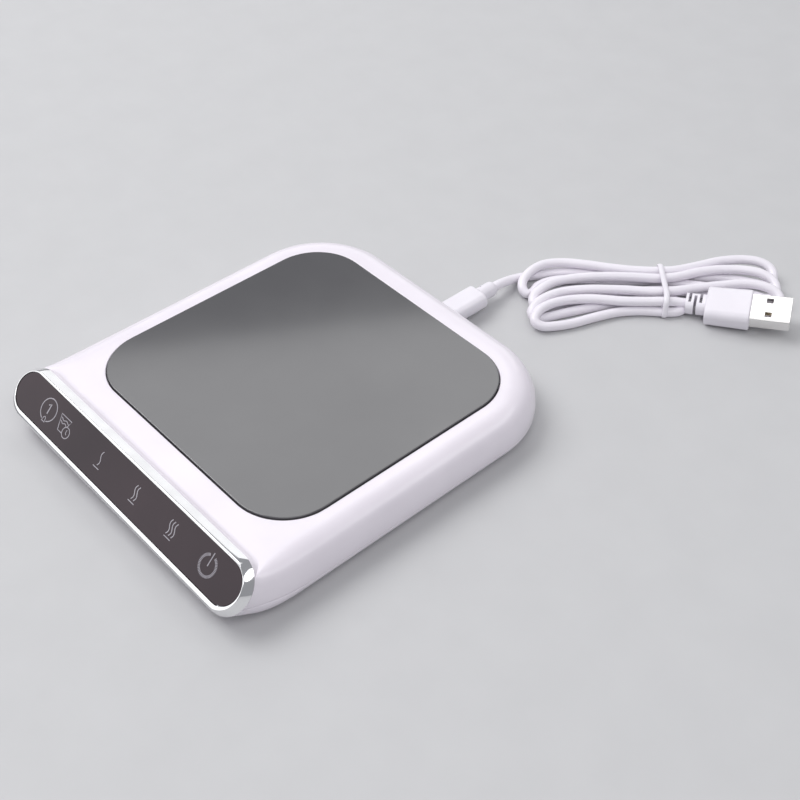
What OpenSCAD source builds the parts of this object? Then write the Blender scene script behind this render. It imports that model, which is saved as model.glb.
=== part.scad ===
// Electric mug warmer: a heated glass plate in a two-part moulded housing, with a
// tilted touch bar in front and a plug-in lead that is folded into a hank.
// Millimetres. +Z up, +Y to the back wall, X to the right, table at Z = 0.

/* [Glass plate] */
// Width of the glass plate
glass_w = 100; // [92:1:112]
// Depth of the glass plate
glass_d = 99; // [92:1:112]
// Corner radius of the glass plate
glass_r = 18; // [14:0.5:21]
// Thickness of the glass plate
glass_t = 4; // [3.5:0.1:5]
// Height of the glass above the deck
glass_proud = 0.6; // [0.3:0.1:1]
// Gap between the glass and its recess, all round
glass_gap = 0.35; // [0.2:0.05:0.6]
// Width of the ledge that carries the rim of the glass
ledge_w = 3; // [2.5:0.1:4]
// Thickness of that ledge
ledge_t = 1.5; // [1.2:0.1:2]
// Thickness of the collar wall round the recess
collar_t = 2; // [1.6:0.1:2.4]
// Thickness of the adhesive ring under the glass
adhesive_t = 0.4; // [0.3:0.1:0.6]

/* [Housing] */
// Deck between the glass and the greatest width, on each side
side_margin = 11.5; // [11:0.1:15]
// Deck between the glass and the back wall
back_margin = 12.8; // [12.4:0.1:16]
// Reach from the front edge of the glass to the front lip of the bar
front_margin = 25.4; // [24.6:0.1:30]
// Corner radius of the outline at the seam
corner_r = 30; // [28:0.5:33]
// Wall thickness of both covers
wall = 1.8; // [1.6:0.1:2.2]
// Width of the rounded shoulder between deck and seam
shoulder_w = 9.3; // [8.5:0.1:10]
// Width of the rounding under the bottom cover
base_round = 6; // [5:0.1:6.5]
// Height of the seam above the table
seam_h = 6; // [5.6:0.1:7]
// Rise of the seam where it reaches the bar
seam_rise = 4.4; // [3:0.1:5]
// Open reveal between the two covers at the seam
seam_gap = 0.2; // [0.1:0.05:0.4]
// Height of the rim that locates the covers
rim_h = 1.2; // [0.8:0.1:1.6]
// Length over which the sides run into the bar
blend_l = 28; // [22:1:30]
// Length of the curve under the bar
bow_l = 14; // [10:0.5:18]

/* [Heater] */
// Thickness of the heating film
film_t = 0.3; // [0.2:0.1:0.6]
// Thickness of the aluminium heat spreader
spreader_t = 1; // [0.8:0.1:1.5]
// Thickness of the insulation pad
pad_t = 3; // [2.5:0.1:4]
// Thickness of the heater carrier
carrier_t = 1; // [0.8:0.1:1.4]
// Clearance between the heater layers and the opening in the ledge
heater_gap = 2; // [1.6:0.1:2.5]

/* [Circuit board] */
// Width of the main board
board_w = 60; // [56:1:70]
// Depth of the main board
board_l = 40; // [36:1:46]
// Thickness of the main board
board_t = 1.6; // [1.2:0.1:1.8]
// Height of the board standoffs
standoff_h = 1.5; // [1.3:0.1:2.5]
// Height of the tallest component on the main board
part_h = 1.5; // [1.3:0.1:2]
// Air gap between the components and the heater carrier
air_gap = 0.4; // [0.3:0.1:1]

/* [Touch bar] */
// Tilt of the touch bar from the horizontal
bar_tilt = 45; // [42:1:48]
// Height of the touch panel, measured in its own plane
panel_h = 13.3; // [12.5:0.1:14]
// Thickness of the touch panel
panel_t = 1.8; // [1.5:0.1:2]
// Drop of the touch panel below the bezel's lip
panel_drop = 0.2; // [0.1:0.05:0.4]
// Width of the bezel's lip along the top
lip_top = 0.65; // [0.5:0.05:1]
// Width of the bezel's lip along the bottom
lip_low = 1.5; // [1:0.05:1.8]
// Width of the bezel's lip at the two ends
lip_side = 0.5; // [0.4:0.05:0.8]
// Spread of the bezel's wall from lip to housing
bezel_flare = 1.6; // [1.2:0.1:1.8]
// Depth of the bezel's wall
bezel_d = 3.1; // [2.8:0.1:3.6]
// Height of the panel's top edge above the deck
bar_rise = 3; // [2.4:0.1:3.4]
// How far the bezel's ends stay inside the sides of the housing
bar_inset = 1.4; // [1:0.1:2]
// Length of the spigot that holds the bezel in the housing
spigot_l = 4.5; // [4:0.5:6]
// Thickness of the light guide
guide_t = 2; // [1.6:0.1:2.2]
// Thickness of the touch board
touch_t = 1.2; // [1:0.1:1.4]

/* [Feet and screws] */
// Height of the feet below the bottom cover
foot_h = 1; // [0.8:0.1:1.6]
// Diameter of the feet
foot_d = 10; // [8:0.5:11]
// Depth of the recess that holds each foot
foot_sink = 0.6; // [0.4:0.1:0.8]
// Shank diameter of the housing and heater screws
screw_d = 2.4; // [2:0.1:2.6]
// Head diameter of those screws
screw_head_d = 4.6; // [4:0.1:4.8]

/* [Lead] */
// Diameter of the cord
cord_d = 3.4; // [3:0.1:3.6]
// Width of the device plug's grip
grip_w = 10; // [9.6:0.1:12]
// Thickness of the device plug's grip
grip_t = 6; // [5.4:0.1:6.4]
// Length of the device plug's grip
grip_l = 16.6; // [14:0.1:20]
// Length of the device plug's strain relief
relief_l = 7.3; // [6:0.1:8]
// Length of the device plug's shell outside the grip
plug_l = 6.65; // [6.2:0.05:6.7]
// Width of the charger plug's grip at the shell end
usb_grip_w = 15; // [14:0.1:16]
// Thickness of the charger plug's grip
usb_grip_t = 7.5; // [7:0.1:8]
// Length of the charger plug's grip
usb_grip_l = 15.5; // [14:0.1:18]
// Length of the charger plug's shell outside the grip
usb_shell_l = 13.4; // [12:0.1:14]

/* [Hidden] */
$fn = 48;

// Overall sizes: the outline follows the glass, the height follows the stack of layers.
body_w = glass_w + 2 * side_margin;
body_l = front_margin + glass_d + back_margin;
floor_h = foot_h + wall;
board_h = floor_h + standoff_h;
carrier_h = board_h + board_t + part_h + air_gap;
pad_h = carrier_h + carrier_t;
spreader_h = pad_h + pad_t;
film_h = spreader_h + spreader_t;
glass_h = film_h + film_t;
deck_h = glass_h + glass_t - glass_proud;
ledge_h = glass_h - adhesive_t;
glass_y = body_l / 2 - back_margin - glass_d / 2;
back_y = body_l / 2;

// The bar's own frame lies in the panel's face: x along it, y up it, z out of it.
bar_y = -body_l / 2 + (panel_h / 2 + lip_low) * cos(bar_tilt);
bar_z = deck_h + bar_rise - panel_h / 2 * sin(bar_tilt);
ring_r = (panel_h + lip_top + lip_low) / 2 + bezel_flare;
ring_v = (lip_top - lip_low) / 2;
ring_a = body_w / 2 - bar_inset - ring_r;
panel_l = 2 * (ring_a + ring_r - bezel_flare - lip_side);
seat_d = panel_drop + panel_t;
window_in = 1.5;
spigot_wall = 1.2;
fit = 0.15;
spigot_h = panel_h - 2 * window_in + 2 * spigot_wall;
spigot_w = panel_l - 2 * window_in + 2 * spigot_wall;

// Height and place of the housing's front face, where it meets the bezel; i is the inset.
function ring_at(z, i) = (z - bar_z + (bezel_d + i) * cos(bar_tilt)) / sin(bar_tilt);
function face_y(z, i) = bar_y + ring_at(z, i) * cos(bar_tilt) + (bezel_d + i) * sin(bar_tilt);
function ring_low(i) = bar_z + (ring_v - ring_r + i) * sin(bar_tilt) - (bezel_d + i) * cos(bar_tilt);
ring_top = bar_z + (ring_v + ring_r) * sin(bar_tilt) - bezel_d * cos(bar_tilt);

// Housing form: level outlines stacked in Z. Each one runs from the bar's rounded end,
// through a fading blend, along the side and round the back corner.
function arc_part(s) = sqrt(max(0, 1 - s * s));
function side_in(z, i) = z >= seam_h
    ? (shoulder_w - 1.6 * i) * (1 - arc_part((z - seam_h) / (deck_h - i - seam_h)))
    : base_round * (1 - arc_part((seam_h - z) / (seam_h - foot_h - i)));
function bow_at(z, i) = arc_part((ring_low(i) - z) / (ring_low(i) - foot_h - i));
function bow_start(i) = face_y(ring_low(i), i);
function front_y(z, i) = z >= ring_low(i)
    ? face_y(z, i)
    : bow_start(i) + (bow_l - bow_start(i) + bow_start(0)) * (1 - bow_at(z, i));
function front_x(z, i) = z >= ring_low(i)
    ? ring_a + (ring_r - i) * arc_part((ring_at(z, i) - ring_v) / (ring_r - i))
    : ring_a - bow_in * (1 - bow_at(z, i));
bow_in = 8;
function half_outline(z, i, nb, nc) =
    let (inset = i + side_in(z, i), w = body_w / 2 - inset, r = corner_r - inset,
         fx = front_x(z, i), fy = front_y(z, i),
         cx = body_w / 2 - corner_r, cy = back_y - corner_r)
    concat([for (j = [0:nb]) [w + (fx - w) * pow(1 - j / nb, 4), fy + j / nb * blend_l]],
        [for (k = [0:nc]) [cx + r * cos(90 * k / nc), cy + r * sin(90 * k / nc)]]);
function mirrored(half, z) = concat([for (p = half) [p[0], p[1], z]],
    [for (k = [len(half) - 1:-1:0]) [-half[k][0], half[k][1], z]]);
function levels(i, nl, nu) = let (low = ring_low(i)) concat(
    [for (k = [0:nl]) foot_h + i + (low - foot_h - i) * (1 - cos(90 * k / nl))],
    low < seam_h - 0.1 ? [seam_h] : [],
    [for (k = [1:nu]) low + (deck_h - i - low) * sin(90 * k / nu)]);

// One closed skin over a stack of rings that all have the same, even number of points.
// Its two ends are strips that join each point to the one across from it.
module skin(rings) {
    n = len(rings[0]);
    m = len(rings);
    last = (m - 1) * n;
    polyhedron([for (r = rings) each r], concat(
        [for (k = [0:n / 2 - 2]) [k, k + 1, n - 2 - k, n - 1 - k]],
        [for (r = [0:m - 2]) for (k = [0:n - 1])
            let (a = r * n + k, b = r * n + (k + 1) % n) each [[a, a + n, b], [b, a + n, b + n]]],
        [for (k = [0:n / 2 - 2]) [last + n - 1 - k, last + n - 2 - k, last + k + 1, last + k]]),
        convexity = 6);
}

module housing_form(i, nb, nc, nl, nu) {
    skin([for (z = levels(i, nl, nu)) mirrored(half_outline(z, i, nb, nc), z)]);
}

// Raised land that carries the deck up to the bezel's top edge, with a hollow sweep.
ridge_run = 5.5;
ridge_end = 8;
ridge_sink = 1;
function ridge_outline(z, n, inset) =
    let (s = max(0, (z - deck_h) / (ring_top - deck_h)), y0 = face_y(z, 0.1),
         crest = face_y(ring_top, 0) + 0.3, foot = face_y(deck_h, 0) + ridge_run,
         run = crest + (foot - crest) * (1 - sqrt(s)) - inset - y0,
         w = body_w / 2 - shoulder_w, x = front_x(z, 0))
    [for (k = [0:n]) let (y = run * sin(90 * k / n))
        [w + (x - w) * pow(1 - y / blend_l, 4) - inset - ridge_end * (1 - cos(90 * k / n)), y0 + y]];
module ridge() {
    top = ring_top - 0.05;
    skin(concat([mirrored(ridge_outline(deck_h - ridge_sink, 8, 0.6), deck_h - ridge_sink)],
        [for (k = [0:7]) let (z = deck_h + (top - deck_h) * pow(k / 7, 1.4))
            mirrored(ridge_outline(z, 8, 0.15), z)]));
}

module bar_frame() {
    translate([0, bar_y, bar_z]) rotate([bar_tilt, 0, 0]) children();
}

module housing_outer() {
    housing_form(0, 10, 12, 6, 10);
}

module housing_inner(i) {
    housing_form(i, 6, 8, 4, 6);
}

// Everything below the seam, which is level along the sides and sweeps up to the bar.
seam_y = -back_y + 31;
seam_run = 26.5;
function seam_at(y) = seam_h + seam_rise * pow(max(0, (seam_y - y) / seam_run), 1.5);
module below_seam(lift) {
    n = 12;
    front = -back_y - 12;
    rotate([90, 0, 90]) translate([0, 0, -body_w]) linear_extrude(2 * body_w)
        polygon(concat(
            [for (k = [0:n]) let (y = front + (seam_y - front) * k / n) [y, seam_at(y) + lift]],
            [[back_y + 20, seam_h + lift], [back_y + 20, -20], [front, -20]]));
}

module rounded(w, d, r) {
    square([w - 2 * r, d], center = true);
    square([w, d - 2 * r], center = true);
    for (x = [-1, 1], y = [-1, 1]) translate([x * (w / 2 - r), y * (d / 2 - r)]) circle(r);
}

module stadium(w, h) {
    square([w - h, h], center = true);
    for (x = [-1, 1]) translate([x * (w - h) / 2, 0]) circle(h / 2);
}

module plate(inset, h, t) {
    translate([0, glass_y, h]) linear_extrude(t)
        rounded(glass_w - 2 * inset, glass_d - 2 * inset, glass_r - inset);
}

// Places of the fasteners: posts stand in the strip between collar and side wall, and
// end under the rounded shoulder.
post_x = glass_w / 2 + 3.6;
post_span = glass_d / 2 - 11.5;
boss_span = glass_d / 2 - 31.5;
post_d = screw_d + 2.8;
joint_h = seam_h + 2;
shoulder_at = (body_w / 2 - post_x - post_d / 2) / shoulder_w;
post_top = seam_h + (deck_h - seam_h) * arc_part(max(0, 1 - shoulder_at)) - 0.5;
head_h = 1.3;
head_seat_h = foot_h + 1.5;
housing_screw_l = 9;
heater_screw_l = 6;
module at_posts() {
    for (x = [-1, 1], y = [-1, 1])
        translate([x * post_x, glass_y + y * post_span, 0]) children();
}
module at_bosses() {
    for (x = [-1, 1], y = [-1, 1])
        translate([x * post_x, glass_y + y * boss_span, 0]) children();
}

// Board place, and its four standoffs.
board_y = back_y - wall - 1.6 - board_l / 2;
board_edge = 4;
module at_standoffs() {
    for (x = [-1, 1], y = [-1, 1])
        translate([x * (board_w / 2 - board_edge), board_y + y * (board_l / 2 - board_edge), 0])
            children();
}

// The socket lies in a notch of the board, on the board's middle plane.
socket_h = board_h + board_t / 2;
socket_w = 8.94;
socket_t = 3.26;
socket_l = 7.35;
socket_y = back_y - 1;
socket_skin = 0.3;
module toward_back(y) {
    translate([0, y, socket_h]) rotate([90, 0, 0]) children();
}
module socket_hole() {
    toward_back(back_y + 10) linear_extrude(20) stadium(socket_w + 0.4, socket_t + 0.4);
}

foot_x = body_w / 2 - 17.5;
feet_front = -back_y + 24.6;
feet_back = back_y - 22.6;
module at_feet() {
    for (x = [-foot_x, foot_x], y = [feet_front, feet_back]) translate([x, y, 0]) children();
}

module front_hole(depth) {
    bar_frame() translate([0, 0, -depth]) linear_extrude(depth)
        stadium(spigot_w + 2 * fit, spigot_h + 2 * fit);
}

module top_cover() {
    color("white") difference() {
        union() {
            difference() {
                union() {
                    housing_outer();
                    ridge();
                }
                housing_inner(wall);
                below_seam(0);
                intersection() {
                    housing_inner(wall / 2);
                    below_seam(rim_h + 0.1);
                }
            }
            plate(-glass_gap - collar_t, ledge_h - ledge_t, deck_h - wall / 2 - ledge_h + ledge_t);
            at_posts() translate([0, 0, joint_h]) cylinder(d = post_d, h = post_top - joint_h);
            at_bosses() translate([0, 0, pad_h]) cylinder(d = post_d, h = post_top - pad_h);
        }
        plate(-glass_gap, ledge_h, 10);
        plate(ledge_w, 0, 30);
        at_posts() cylinder(d = screw_d + 0.1, h = head_seat_h + housing_screw_l + 0.6);
        at_bosses() cylinder(d = screw_d + 0.1, h = carrier_h + heater_screw_l + 0.4);
        front_hole(bezel_d + spigot_l + 0.5);
        socket_hole();
    }
}

// The lower cavity leaves the posts and the board's standoffs standing.
module bottom_cavity() {
    difference() {
        housing_inner(wall);
        at_posts() cylinder(d = post_d + 0.8, h = joint_h);
        at_standoffs() cylinder(d = 4.4, h = board_h);
    }
}

module bottom_cover() {
    color("white") difference() {
        union() {
            intersection() {
                housing_outer();
                below_seam(-seam_gap);
            }
            intersection() {
                housing_inner(wall / 2 + 0.1);
                below_seam(rim_h);
            }
            at_posts() translate([0, 0, foot_h + 0.5]) cylinder(d = post_d + 0.8, h = joint_h - foot_h - 0.5);
        }
        bottom_cavity();
        at_posts() cylinder(d = screw_head_d + 0.6, h = head_seat_h);
        at_posts() cylinder(d = screw_d + 0.5, h = joint_h + 1);
        at_standoffs() translate([0, 0, floor_h - 0.9]) cylinder(d = 2, h = standoff_h + 2);
        at_feet() cylinder(d = foot_d + 0.2, h = foot_h + foot_sink);
        front_hole(bezel_d + wall + 1);
        socket_hole();
    }
}

module glass_plate() {
    color("dimgray") plate(0, glass_h, glass_t);
}

module glass_adhesive_ring() {
    color("lightgray") difference() {
        plate(0.4, ledge_h, adhesive_t);
        plate(ledge_w - 0.2, 0, 30);
    }
}

// The film's tab hangs in the gap behind the layers, where its two wires start.
film_in = ledge_w + heater_gap;
tab_w = 14;
tab_y = glass_y + glass_d / 2 - film_in;
wire_x = 4;
wire_d = 1;
wire_y = tab_y + heater_gap / 2;
module heating_film() {
    color("sandybrown") {
        plate(film_in, film_h, film_t);
        translate([-tab_w / 2, tab_y - 2, film_h]) cube([tab_w, heater_gap + 1.6, film_t]);
    }
}

module heat_spreader() {
    color("silver") plate(film_in, spreader_h, spreader_t);
}

// Probe and fuse press on the spreader through openings in pad and carrier.
probe_x = 12;
probe_y = board_y - board_l / 4;
fuse_x = -14;
fuse_y = probe_y + 2;
fuse_l = 9;
fuse_d = 2.4;
module heater_openings() {
    translate([probe_x, probe_y, 0]) cylinder(d = 6, h = 30);
    translate([fuse_x - fuse_l, fuse_y - 2.5, 0]) cube([2 * fuse_l, 5, 30]);
}

module insulation_pad() {
    color("wheat") difference() {
        plate(film_in, pad_h, pad_t);
        heater_openings();
    }
}

module heater_carrier() {
    color("gainsboro") difference() {
        union() {
            plate(0.5, carrier_h, carrier_t);
            for (x = [-1, 1], y = [-1, 1])
                translate([x * (post_x - 1.8), glass_y + y * boss_span, carrier_h + carrier_t / 2])
                    cube([10, 9, carrier_t], center = true);
        }
        at_bosses() cylinder(d = screw_d + 0.3, h = 30);
        heater_openings();
        translate([-tab_w / 2, tab_y, 0]) cube([tab_w, 20, 30]);
    }
}

// Pan-head screw with its seat at the origin, shank up and head below.
module screw(d, head, head_t, l) {
    difference() {
        union() {
            cylinder(d = d, h = l);
            translate([0, 0, -head_t]) cylinder(d = head, h = head_t);
        }
        for (a = [0, 90]) rotate(a) translate([-head / 3, -0.3, -head_t - 1]) cube([2 * head / 3, 0.6, 1.6]);
    }
}

module heater_screws() {
    color("lightsteelblue") at_bosses() translate([0, 0, carrier_h])
        screw(screw_d, screw_head_d, 1.2, heater_screw_l);
}

module housing_screws() {
    color("lightsteelblue") at_posts() translate([0, 0, head_seat_h])
        screw(screw_d, screw_head_d, head_h, housing_screw_l);
}

module board_screws() {
    color("lightsteelblue") at_standoffs() translate([0, 0, board_h + board_t]) mirror([0, 0, 1])
        screw(1.8, 3.6, 1, board_t + standoff_h + 0.4);
}

module heater_leads() {
    color("firebrick") for (x = [-wire_x, wire_x])
        translate([x, wire_y, board_h + board_t]) cylinder(d = wire_d, h = film_h - board_h - board_t);
}

module thermistor() {
    color("black") translate([probe_x, probe_y, spreader_h - 1.4]) cylinder(d = 3.6, h = 1.4);
    color("silver") for (x = [-1, 1]) translate([probe_x + x, probe_y, board_h + board_t])
        cylinder(d = 0.5, h = spreader_h - 1 - board_h - board_t);
}

module thermal_fuse() {
    color("ivory") translate([fuse_x - fuse_l / 2, fuse_y, spreader_h - fuse_d / 2])
        rotate([0, 90, 0]) cylinder(d = fuse_d, h = fuse_l);
    color("silver") for (x = [-1, 1]) translate([fuse_x + x * (fuse_l / 2 - 0.4), fuse_y, board_h + board_t])
        cylinder(d = 0.7, h = spreader_h - fuse_d / 2 - board_h - board_t);
}

module main_board() {
    color("seagreen") difference() {
        translate([-board_w / 2, board_y - board_l / 2, board_h]) cube([board_w, board_l, board_t]);
        at_standoffs() cylinder(d = 2.2, h = 20);
        translate([-socket_w / 2 - fit, socket_y - socket_l - fit, board_h - 1])
            cube([socket_w + 2 * fit, 20, board_t + 2]);
    }
}

// Component bodies: [x, distance behind the board's front edge, width, depth, height]
module board_components() {
    top = board_h + board_t;
    front = board_y - board_l / 2;
    parts = [[-2, 16, 7, 7, 1], [-20, 20, 5, 6, 1.5], [-20, 28, 5, 6, 1.5], [20, 18, 6, 5, 1.2],
        [20, 26, 4, 4, 1.5], [8, 20, 3, 1.6, 0.8], [8, 24, 3, 1.6, 0.8], [-10, 24, 2, 3, 0.9]];
    color("black") for (p = parts)
        translate([p[0] - p[2] / 2, front + p[1] - p[3] / 2, top]) cube([p[2], p[3], p[4] / 1.5 * part_h]);
}

module usb_socket() {
    color("silver") toward_back(socket_y) {
        linear_extrude(socket_l) difference() {
            stadium(socket_w, socket_t);
            stadium(socket_w - 2 * socket_skin, socket_t - 2 * socket_skin);
        }
        translate([0, 0, socket_l - 0.8]) linear_extrude(0.8) stadium(socket_w, socket_t);
    }
}

module usb_tongue() {
    color("black") toward_back(socket_y) translate([-3.345, -0.35, socket_l - 0.8 - 4.45])
        cube([6.69, 0.7, 4.45]);
}

buzzer_d = 9;
module buzzer() {
    color("black") translate([20, -back_y + 22, floor_h]) difference() {
        cylinder(d = buzzer_d, h = 3);
        translate([0, 0, 1.5]) cylinder(d = 1.6, h = 4);
    }
}

module chrome_bezel() {
    lip_r = ring_r - bezel_flare;
    color("silver") bar_frame() difference() {
        union() {
            translate([0, ring_v, 0]) {
                for (x = [-ring_a, ring_a]) translate([x, 0, -bezel_d])
                    cylinder(r1 = ring_r, r2 = lip_r, h = bezel_d, $fn = 96);
                rotate([90, 0, 90]) translate([0, 0, -ring_a]) linear_extrude(2 * ring_a)
                    polygon([[-ring_r, -bezel_d], [ring_r, -bezel_d], [lip_r, 0], [-lip_r, 0]]);
            }
            translate([0, 0, -bezel_d - spigot_l]) linear_extrude(spigot_l + 1)
                stadium(spigot_w, spigot_h);
        }
        translate([0, 0, -seat_d]) linear_extrude(10) stadium(panel_l + fit, panel_h + fit);
        translate([0, 0, -20]) linear_extrude(30)
            stadium(panel_l - 2 * window_in, panel_h - 2 * window_in);
    }
}

module touch_panel() {
    color([0.2, 0.17, 0.19]) bar_frame() translate([0, 0, -seat_d]) linear_extrude(panel_t)
        stadium(panel_l - fit, panel_h - fit);
}

// Six keys: their spacing sets the light wells, the lamps and the touch pads.
key_pitch = panel_l / 6.8;
key_x = [for (k = [0:5]) (k - 2.5) * key_pitch];
well_d = 6;
module layer(depth, t) {
    bar_frame() translate([0, 0, -depth - t]) linear_extrude(t) difference() {
        stadium(panel_l - 2 * window_in - 0.4, panel_h - 2 * window_in - 0.4);
        children();
    }
}

module light_guide() {
    color("whitesmoke") layer(seat_d, guide_t)
        for (x = key_x) translate([x, 0]) circle(d = well_d);
}

module touch_board() {
    color("seagreen") layer(seat_d + guide_t, touch_t);
}

module indicator_leds() {
    color("lightyellow") bar_frame() for (x = key_x)
        translate([x - 1.5, -0.7, -seat_d - guide_t]) cube([3, 1.4, 0.8]);
}

// Flat cable from the back of the touch board, along the floor, to the main board.
module ribbon_cable() {
    t = 0.3;
    back = seat_d + guide_t + touch_t;
    y0 = bar_y + back * sin(bar_tilt);
    z0 = bar_z - back * cos(bar_tilt);
    y_end = board_y - board_l / 2 + 3;
    ribbon_w = board_w / 5;
    route = [[y0, z0], [y0 + 3.2, z0 - 2.5], [y0 + 6.5, floor_h + 1], [y0 + 9, floor_h],
        [y_end - 8, floor_h], [y_end - 3, board_h - t], [y_end, board_h - t]];
    color("lightslategray") rotate([90, 0, 90]) translate([0, 0, -2 * ribbon_w]) linear_extrude(ribbon_w)
        polygon(concat(route, [for (k = [len(route) - 1:-1:0])
            [route[k][0] + (k < 3 ? t : 0), route[k][1] + t]]));
}

module rubber_feet() {
    color("gray") at_feet() {
        cylinder(d = foot_d, h = foot_h + foot_sink);
    }
}

// ---- Lead. The plug stands in the socket, the hank lies on the table. ----
plug_y = back_y + 0.3;
plug_w = 8.25;
plug_t = 2.4;
module plug_shell() {
    color("silver") toward_back(plug_y) linear_extrude(plug_l) difference() {
        stadium(plug_w, plug_t);
        stadium(plug_w - 0.7, plug_t - 0.7);
    }
}

grip_round = 2.7;
module plug_grip() {
    color("white") translate([0, plug_y, socket_h]) rotate([-90, 0, 0]) {
        linear_extrude(grip_l - 0.8) rounded(grip_w, grip_t, grip_round);
        translate([0, 0, grip_l - 0.8]) linear_extrude(0.8)
            rounded(grip_w - 0.8, grip_t - 0.8, grip_round - 0.4);
    }
}

relief_d = 5.5;
relief_y = plug_y + grip_l;
module plug_relief() {
    color("white") translate([0, relief_y, socket_h]) rotate([-90, 0, 0]) difference() {
        rotate_extrude() polygon(concat([[0, 0], [relief_d / 2, 0]],
            [for (a = [0:15:90]) [relief_d / 2 - 0.9 * (1 - cos(a)), relief_l - 1.6 + 1.6 * sin(a)]],
            [[0, relief_l]]));
        for (a = [55, 235]) rotate(a) translate([relief_d / 2 - 0.5, 0, 2.2]) rotate([0, 90, 0])
            cylinder(d = 1.3, h = 2);
    }
}

// Sweep of an eight-sided tube along a route of points.
function unit(v) = v / norm(v);
function heading(p, k) = unit(p[min(k + 1, len(p) - 1)] - p[max(k - 1, 0)]);
module tube(route, d) {
    skin([for (k = [0:len(route) - 1])
        let (t = heading(route, k), s = unit(cross([0, 0, 1], t)), u = cross(t, s))
        [for (a = [0:45:315]) route[k] + d / 2 * (cos(a) * s + sin(a) * u)]]);
}

// Route from the relief down to the hank, in the frame of the whole object.
run_points = [[0, 0, 0], [0, 2, 0], [0.2, 5, -0.5], [0.8, 8, -1.4], [1.7, 11, -2.4], [2.7, 13.2, -2.9]];
module cord_run() {
    start = [0, relief_y + relief_l, socket_h];
    color("white") tube([for (p = run_points) start + p], cord_d);
}

// Hank frame: x along the folded runs, y away from the plug that lies beside them.
hank_at = [40.7, 139.2, 0];
hank_turn = 48.2;
hank_h = 7.6;
hank_left = [-33.5, -0.3];
hank_left_r = 19;
hank_right = [32, 9];
hank_right_r = 12;
tie_x = -3;
tie_w = 1.8;
tie_t = 0.9;
tie_span = [-13.4, 14.2];
function on_hank(p) = hank_at + [p[0] * cos(hank_turn) - p[1] * sin(hank_turn),
    p[0] * sin(hank_turn) + p[1] * cos(hank_turn), p[2]];
module hank_frame() {
    translate(hank_at) rotate(hank_turn) children();
}
module tie_section(grow, extra) {
    translate([tie_x - extra, 0, tie_t]) rotate([90, 0, 90]) linear_extrude(tie_w + 2 * extra)
        translate([(tie_span[0] + tie_span[1]) / 2, (hank_h - 2 * tie_t + 0.8) / 2])
            rounded(tie_span[1] - tie_span[0] + 2 * grow, hank_h - 2 * tie_t + 0.8 + 2 * grow, 2.4 + grow);
}
module cord_hank() {
    color("white") hank_frame() {
        difference() {
            linear_extrude(hank_h) {
                translate(hank_left) circle(hank_left_r);
                translate(hank_right) circle(hank_right_r);
                polygon([[-33.5, 18.7], [-3, 14.6], [32, 21], [32, -3], [1.5, -3], [1.5, -14],
                    [-5, -14.6], [-33.5, -19.3]]);
            }
            translate([tie_x - 0.1, -30, -1]) cube([tie_w + 0.2, 60, 20]);
        }
        tie_section(-0.1, 1);
    }
}

module cable_tie() {
    color("white") hank_frame() difference() {
        tie_section(tie_t, 0);
        tie_section(0, 1);
    }
}

// Charger plug frame: origin at the grip's front face, x out of the plug.
usb_at = [70.1, 149.9, 6.3];
usb_turn = 30.7;
usb_nose = 5.8;
usb_roll = 11.1;
usb_dir = [cos(usb_turn) * cos(usb_nose), sin(usb_turn) * cos(usb_nose), sin(usb_nose)];
module usb_frame() {
    translate(usb_at) rotate([0, 0, usb_turn]) rotate([0, -usb_nose, 0]) rotate([usb_roll, 0, 0])
        children();
}
usb_relief_l = 7;

module cord_tail() {
    end = usb_at - (usb_grip_l + usb_relief_l) * usb_dir;
    color("white") tube([on_hank([1.5, -7.1, 3.8]), on_hank([2.8, -7.1, 3.8]), end - 1.4 * usb_dir, end],
        cord_d);
}

module usb_a_grip() {
    color("white") usb_frame() rotate([0, -90, 0]) {
        linear_extrude(usb_grip_l - 3) rounded(usb_grip_t, usb_grip_w, 2.6);
        translate([0, 0, usb_grip_l - 3]) linear_extrude(3)
            rounded(usb_grip_t - 0.6, usb_grip_w - 1.2, 2.3);
    }
}

// Strain relief: a soft block with slots cut in turn from its two sides.
module usb_a_relief() {
    color("white") usb_frame() translate([-usb_grip_l, 0, 0]) rotate([0, -90, 0]) difference() {
        linear_extrude(usb_relief_l) rounded(5.6, 7.4, 2.2);
        for (k = [0:2]) translate([-5, k % 2 == 0 ? -1.6 : -8.4, 1.3 + 1.9 * k]) cube([10, 10, 1]);
    }
}

usb_w = 12;
usb_t = 4.5;
usb_skin = 0.3;
module usb_a_shell() {
    color("silver") usb_frame() difference() {
        rotate([90, 0, 90]) linear_extrude(usb_shell_l) difference() {
            rounded(usb_w, usb_t, 0.5);
            rounded(usb_w - 2 * usb_skin, usb_t - 2 * usb_skin, 0.2);
        }
        for (y = [-3.2, 3.2]) translate([usb_shell_l - 7.4, y, 0]) cube([2.4, 2.3, 10], center = true);
    }
}

tongue_t = 1.9;
module usb_a_tongue() {
    color("ivory") usb_frame() translate([0, -usb_w / 2 + usb_skin + 0.1, -usb_t / 2 + usb_skin])
        cube([usb_shell_l - 0.8, usb_w - 2 * usb_skin - 0.2, tongue_t]);
}

module usb_a_contacts() {
    color("gold") usb_frame() for (y = [-3.5, -1, 1, 3.5])
        translate([2, y - 0.5, -usb_t / 2 + usb_skin + tongue_t]) cube([usb_shell_l - 4, 1, 0.15]);
}

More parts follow.
